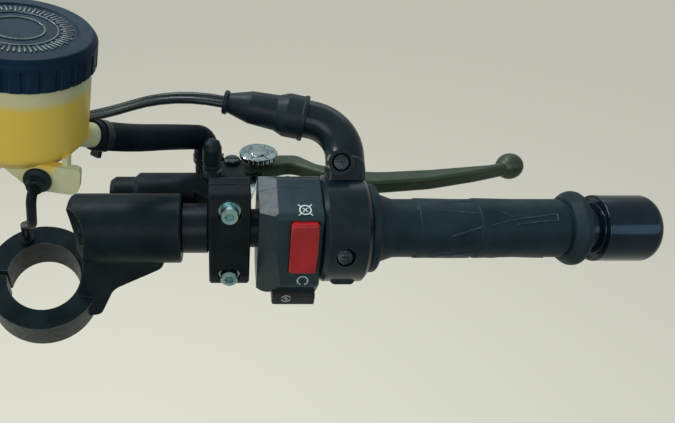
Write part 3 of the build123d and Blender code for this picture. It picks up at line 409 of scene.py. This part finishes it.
# Symbols printed on the switch housing; sizes in mm, and thin is a share of the stroke
markSetup = {"stroke": 0.75, "thin": 0.8, "height": 0.10}
stopSetup = {"radius": 3.0, "steps": 36, "crossLength": 3.6, "crossTurns": (45, -45),
             "rayLength": 1.9, "rayGap": 1.3, "rayTurns": (45, 135, 225, 315),
             "place": (154.2, -15.1, 71.2), "normal": (0, -0.2347, 0.9721), "up": (0, 1, 0)}
runSetup = {"radius": 2.9, "start": -55, "sweep": 290, "steps": 30,
            "footLength": 1.5, "foot": (1.75, -2.1), "footTurn": 30,
            "place": (155.1, -25.50, 28.8), "normal": (0, -0.9912, 0.1322), "up": (0, 0, 1)}
startSetup = {"radius": 2.6, "starts": (20, 200), "sweep": 140, "steps": 18,
              "place": (146.7, -25.72, 14.6), "normal": (0, -0.9939, -0.1104), "up": (0, 0, 1)}
startFlash = [  # the bars of the flash: length in mm, share of the stroke, middle and turn
    {"length": 2.0, "share": 0.7, "middle": (-0.5, 0.7), "turn": 60},
    {"length": 1.6, "share": 0.6, "middle": (0, 0), "turn": -20},
    {"length": 2.0, "share": 0.7, "middle": (0.5, -0.7), "turn": 60},
]


def finishMark(bm, name, setup):
    place = frameAt(setup["place"], setup["normal"], setup["up"])
    finishPiece(bm, name, place, "markPaint", "holder", False)


def makeStopMark():
    bm = bmesh.new()
    setup = stopSetup
    thin = markSetup["stroke"] * markSetup["thin"]
    addArc(bm, setup["radius"], markSetup["stroke"], markSetup["height"], 0, 360, setup["steps"])
    for turn in setup["crossTurns"]:
        addBar(bm, setup["crossLength"], thin, markSetup["height"], (0, 0), turn)
    for turn in setup["rayTurns"]:
        centre = onCircle(setup["radius"] + setup["rayGap"], turn)
        addBar(bm, setup["rayLength"], thin, markSetup["height"], centre, turn)
    finishMark(bm, "stopMark", setup)


def makeRunMark():
    bm = bmesh.new()
    setup = runSetup
    stroke, height = markSetup["stroke"], markSetup["height"]
    addArc(bm, setup["radius"], stroke, height, setup["start"], setup["sweep"], setup["steps"])
    for side in (-1, 1):
        centre = (side * setup["foot"][0], setup["foot"][1])
        addBar(bm, setup["footLength"], stroke, height, centre, side * setup["footTurn"])
    finishMark(bm, "runMark", setup)


def makeStartMark():
    bm = bmesh.new()
    setup = startSetup
    stroke, height = markSetup["stroke"], markSetup["height"]
    thin = stroke * markSetup["thin"]
    for start in setup["starts"]:
        addArc(bm, setup["radius"], thin, height, start, setup["sweep"], setup["steps"])
    for bar in startFlash:
        addBar(bm, bar["length"], stroke * bar["share"], height, bar["middle"], bar["turn"])
    finishMark(bm, "startMark", setup)


makeStopMark()
makeRunMark()
makeStartMark()
print("switch marks ready")

# Moulded pattern round the grip: narrow wedges and seams, repeated round the barrel; sizes in mm
gripSetup = {"radius": 16.75, "rise": 0.5, "sink": 0.2, "skin": 0.12, "facing": 40.0, "repeats": 3,
             "seams": (219.0, 252.5), "seamSteps": 96}
seamProfile = [  # how far along the bar from the seam, and how high over the barrel
    (0.0, -0.30), (0.4, 0.10), (0.9, 0.38), (1.5, 0.48), (2.6, 0.50), (4.0, 0.47), (22.0, 0.03),
    (25.0, -0.06), (27.0, -0.12), (27.0, -0.50), (0.0, -0.50)]
gripStrips = [  # each strip: (x, degrees round the barrel) along its middle, and its width
    {"path": [(219, 45), (252, 66)], "width": 1.7},
    {"path": [(219, 42), (236, 34), (252, 28)], "width": 1.9},
    {"path": [(219, 34), (219, 50)], "width": 1.5},
    {"path": [(253, 60), (262, 38), (270, 21)], "width": 1.9},
    {"path": [(236, -16), (252, 1), (270, 15), (295, 27)], "width": 1.5},
    {"path": [(272, 6), (284, 12), (295, 14)], "width": 1.9},
    {"path": [(295, 14), (295, 27)], "width": 1.5},
]


def gripPoint(x, degrees, lift):
    angle = math.radians(degrees + gripSetup["facing"])
    reach = gripSetup["radius"] + lift
    return Vector((x, -reach * math.cos(angle), barHeight + reach * math.sin(angle)))


def addStrip(bm, start, end, width, shift):
    # A grid bent round the barrel: its middle row stands proud, its two edges sink into the rubber
    setup = gripSetup
    middleRow = 0.2
    grid = bmesh.ops.create_grid(bm, x_segments=8, y_segments=2, size=0.5)
    run = Vector((end[0] - start[0], math.radians(end[1] - start[1]) * setup["radius"], 0))
    side = Vector((-run.y, run.x, 0)).normalized() * width
    for vert in grid["verts"]:
        flat = run * (vert.co.x + 0.5) + side * vert.co.y
        degrees = start[1] + shift + math.degrees(flat.y / setup["radius"])
        lift = setup["rise"] if abs(vert.co.y) < middleRow else -setup["sink"]
        vert.co = gripPoint(start[0] + flat.x, degrees, lift)


def makeGripPattern():
    bm = bmesh.new()
    for repeat in range(gripSetup["repeats"]):
        shift = 360 / gripSetup["repeats"] * repeat
        for strip in gripStrips:
            for start, end in zip(strip["path"], strip["path"][1:]):
                addStrip(bm, start, end, strip["width"], shift)
    bmesh.ops.solidify(bm, geom=list(bm.faces), thickness=gripSetup["skin"])
    finishPiece(bm, "gripPattern", Matrix.Scale(mm, 4), "gripRubberBlack", "throttle_grip",
                False)


def makeGripSeams():
    # Each seam is a low step that faces inboard and fades out towards the bar's end
    setup = gripSetup
    bm = bmesh.new()
    for start in setup["seams"]:
        base = barHeight + setup["radius"]
        corners = [bm.verts.new((start + x, 0, base + lift)) for x, lift in seamProfile]
        edges = [bm.edges.new(pair) for pair in zip(corners, corners[1:] + corners[:1])]
        bmesh.ops.spin(bm, geom=corners + edges, cent=(0, 0, barHeight), axis=(1, 0, 0), angle=math.tau,
                       steps=setup["seamSteps"], use_merge=True)
    finishPiece(bm, "gripSeams", Matrix.Scale(mm, 4), "gripRubberBlack", "throttle_grip")


makeGripSeams()
makeGripPattern()
print("grip pattern ready")

# Reservoir cap: a plain band of long and short ribs and two rings moulded on its top; sizes in mm
capSetup = {"ribs": 64, "ribLength": 5.5, "shortShare": 0.72, "ribWidth": 0.9, "ribHeight": 0.45,
            "bandRadius": 20.2, "rings": (16.4, 11.0), "ringWidth": 0.8, "ringSteps": 72, "depth": 0.8}


def makeCapRelief():
    setup = capSetup
    bm = bmesh.new()
    for index in range(setup["ribs"]):
        turn = 360 / setup["ribs"] * index
        length = setup["ribLength"] * (1.0 if index % 2 else setup["shortShare"])
        addBar(bm, length, setup["ribWidth"], setup["ribHeight"], onCircle(setup["bandRadius"], turn), turn)
    for radius in setup["rings"]:
        addArc(bm, radius, setup["ringWidth"], setup["ribHeight"], 0, 360, setup["ringSteps"])
    axis = reservoirAxis()
    place = frameAt(Vector(reservoirSetup["top"]) / mm - axis * setup["depth"], axis, (0, 1, 0))
    finishPiece(bm, "capRelief", place, "capGlint", "holder")


makeCapRelief()

# Dial: index pips of growing length outside a thin ring. x, y and top are its place along the bar, ahead of
# it and above it in the lever's tilted plane; sizes in mm
dialSetup = {"x": 134.1, "y": 69.3, "top": 12.7, "tilt": 5.0, "height": 0.15,
             "pips": 6, "pipRadius": 8.9, "pipLength": 1.2, "pipGrowth": 0.35, "pipWidth": 0.9,
             "ringRadius": 6.9, "ringWidth": 0.5, "ringSteps": 48}


def makeDialMarks():
    setup = dialSetup
    bm = bmesh.new()
    for index in range(setup["pips"]):
        turn = 360 / setup["pips"] * index
        length = setup["pipLength"] + setup["pipGrowth"] * index
        addBar(bm, length, setup["pipWidth"], setup["height"], onCircle(setup["pipRadius"], turn), turn)
    addArc(bm, setup["ringRadius"], setup["ringWidth"], setup["height"], 0, 360, setup["ringSteps"])
    tilt = math.radians(setup["tilt"])
    forward = Vector((0, math.cos(tilt), -math.sin(tilt)))
    upward = Vector((0, math.sin(tilt), math.cos(tilt)))
    centre = Vector((setup["x"], 0, barHeight)) + forward * setup["y"] + upward * setup["top"]
    place = frameAt(centre, upward, (0, 1, 0))
    finishPiece(bm, "dialMarks", place, "darkScrew", "brake_lever", False)


makeDialMarks()
print("cap and dial ready")

# Floor, lamps and world
studio = {"floorZ": -0.90, "floorSize": 6.0, "floorColor": (0.45, 0.44, 0.37), "floorGlow": 0.85,
          "floorRough": 0.9, "worldColor": (0.80, 0.90, 1.0), "worldStrength": 0.28,
          "backdropColor": (0.46, 0.46, 0.41)}
lamps = {  # place, target, width and length in metres, watts, colour
    "keyLamp": ((-0.90, 0.30, 0.80), (0.12, 0.0, 0.05), (0.4, 0.4), 10.5, (1.0, 0.98, 0.92)),
    "topLamp": ((-0.20, 0.45, 1.05), (0.14, 0.0, 0.05), (0.45, 0.35), 7.0, (0.94, 0.98, 1.0)),
    "skyLamp": ((0.30, 1.00, 0.80), (0.15, 0.0, 0.05), (1.5, 0.55), 4.2, (0.74, 0.92, 1.0)),
    "rearLamp": ((-0.30, -0.85, 0.55), (0.05, 0.0, 0.08), (1.0, 0.5), 5.0, (1.0, 0.99, 0.96)),
    "sideLamp": ((1.00, -0.75, 0.58), (0.30, 0.0, 0.05), (0.9, 0.45), 2.4, (0.58, 0.80, 1.0)),
}


def backdropSeen(tree):
    # 1 for what the camera, a mirror or glass sees, 0 for the light that falls on the piece
    path = tree.nodes.new("ShaderNodeLightPath")
    mirrored = makeMath(tree, "MAXIMUM", path.outputs["Is Glossy Ray"], path.outputs["Is Transmission Ray"])
    return makeMath(tree, "MAXIMUM", path.outputs["Is Camera Ray"], mirrored)


def makeFloor():
    bm = bmesh.new()
    bmesh.ops.create_grid(bm, x_segments=1, y_segments=1, size=studio["floorSize"])
    bmesh.ops.translate(bm, verts=bm.verts, vec=(0, 0, studio["floorZ"]))
    data = bpy.data.meshes.new("floor")
    bm.to_mesh(data)
    bm.free()
    floor = bpy.data.objects.new("floor", data)
    scene.collection.objects.link(floor)
    material = bpy.data.materials.new("floorPale")
    material.use_nodes = True
    tree = material.node_tree
    shader = tree.nodes["Principled BSDF"]
    shader.inputs["Base Color"].default_value = (*studio["floorColor"], 1)
    shader.inputs["Roughness"].default_value = studio["floorRough"]
    shader.inputs["Emission Color"].default_value = (*studio["floorColor"], 1)
    glow = makeMath(tree, "MULTIPLY", backdropSeen(tree), studio["floorGlow"])
    tree.links.new(glow, shader.inputs["Emission Strength"])
    data.materials.append(material)


def makeLamp(name, place, target, size, energy, color):
    data = bpy.data.lights.new(name, "AREA")
    data.energy = energy
    data.shape = "RECTANGLE"
    data.size, data.size_y = size
    data.color = color
    lamp = bpy.data.objects.new(name, data)
    lamp.location = place
    lamp.rotation_euler = (Vector(target) - Vector(place)).to_track_quat("-Z", "Y").to_euler()
    scene.collection.objects.link(lamp)


def makeWorld():
    # A dim sky lights the piece; what the camera and shiny faces see of it is the pale backdrop
    world = bpy.data.worlds.new("studio")
    scene.world = world
    world.use_nodes = True
    tree = world.node_tree
    sky = tree.nodes["Background"]
    sky.inputs["Color"].default_value = (*studio["worldColor"], 1)
    sky.inputs["Strength"].default_value = studio["worldStrength"]
    backdrop = tree.nodes.new("ShaderNodeBackground")
    backdrop.inputs["Color"].default_value = (*studio["backdropColor"], 1)
    blend = tree.nodes.new("ShaderNodeMixShader")
    tree.links.new(backdropSeen(tree), blend.inputs["Fac"])
    tree.links.new(sky.outputs["Background"], blend.inputs[1])
    tree.links.new(backdrop.outputs["Background"], blend.inputs[2])
    tree.links.new(blend.outputs["Shader"], tree.nodes["World Output"].inputs["Surface"])


makeFloor()
for lampName, lampSetup in lamps.items():
    makeLamp(lampName, *lampSetup)
makeWorld()
print("studio ready")

bpy.context.view_layer.update()
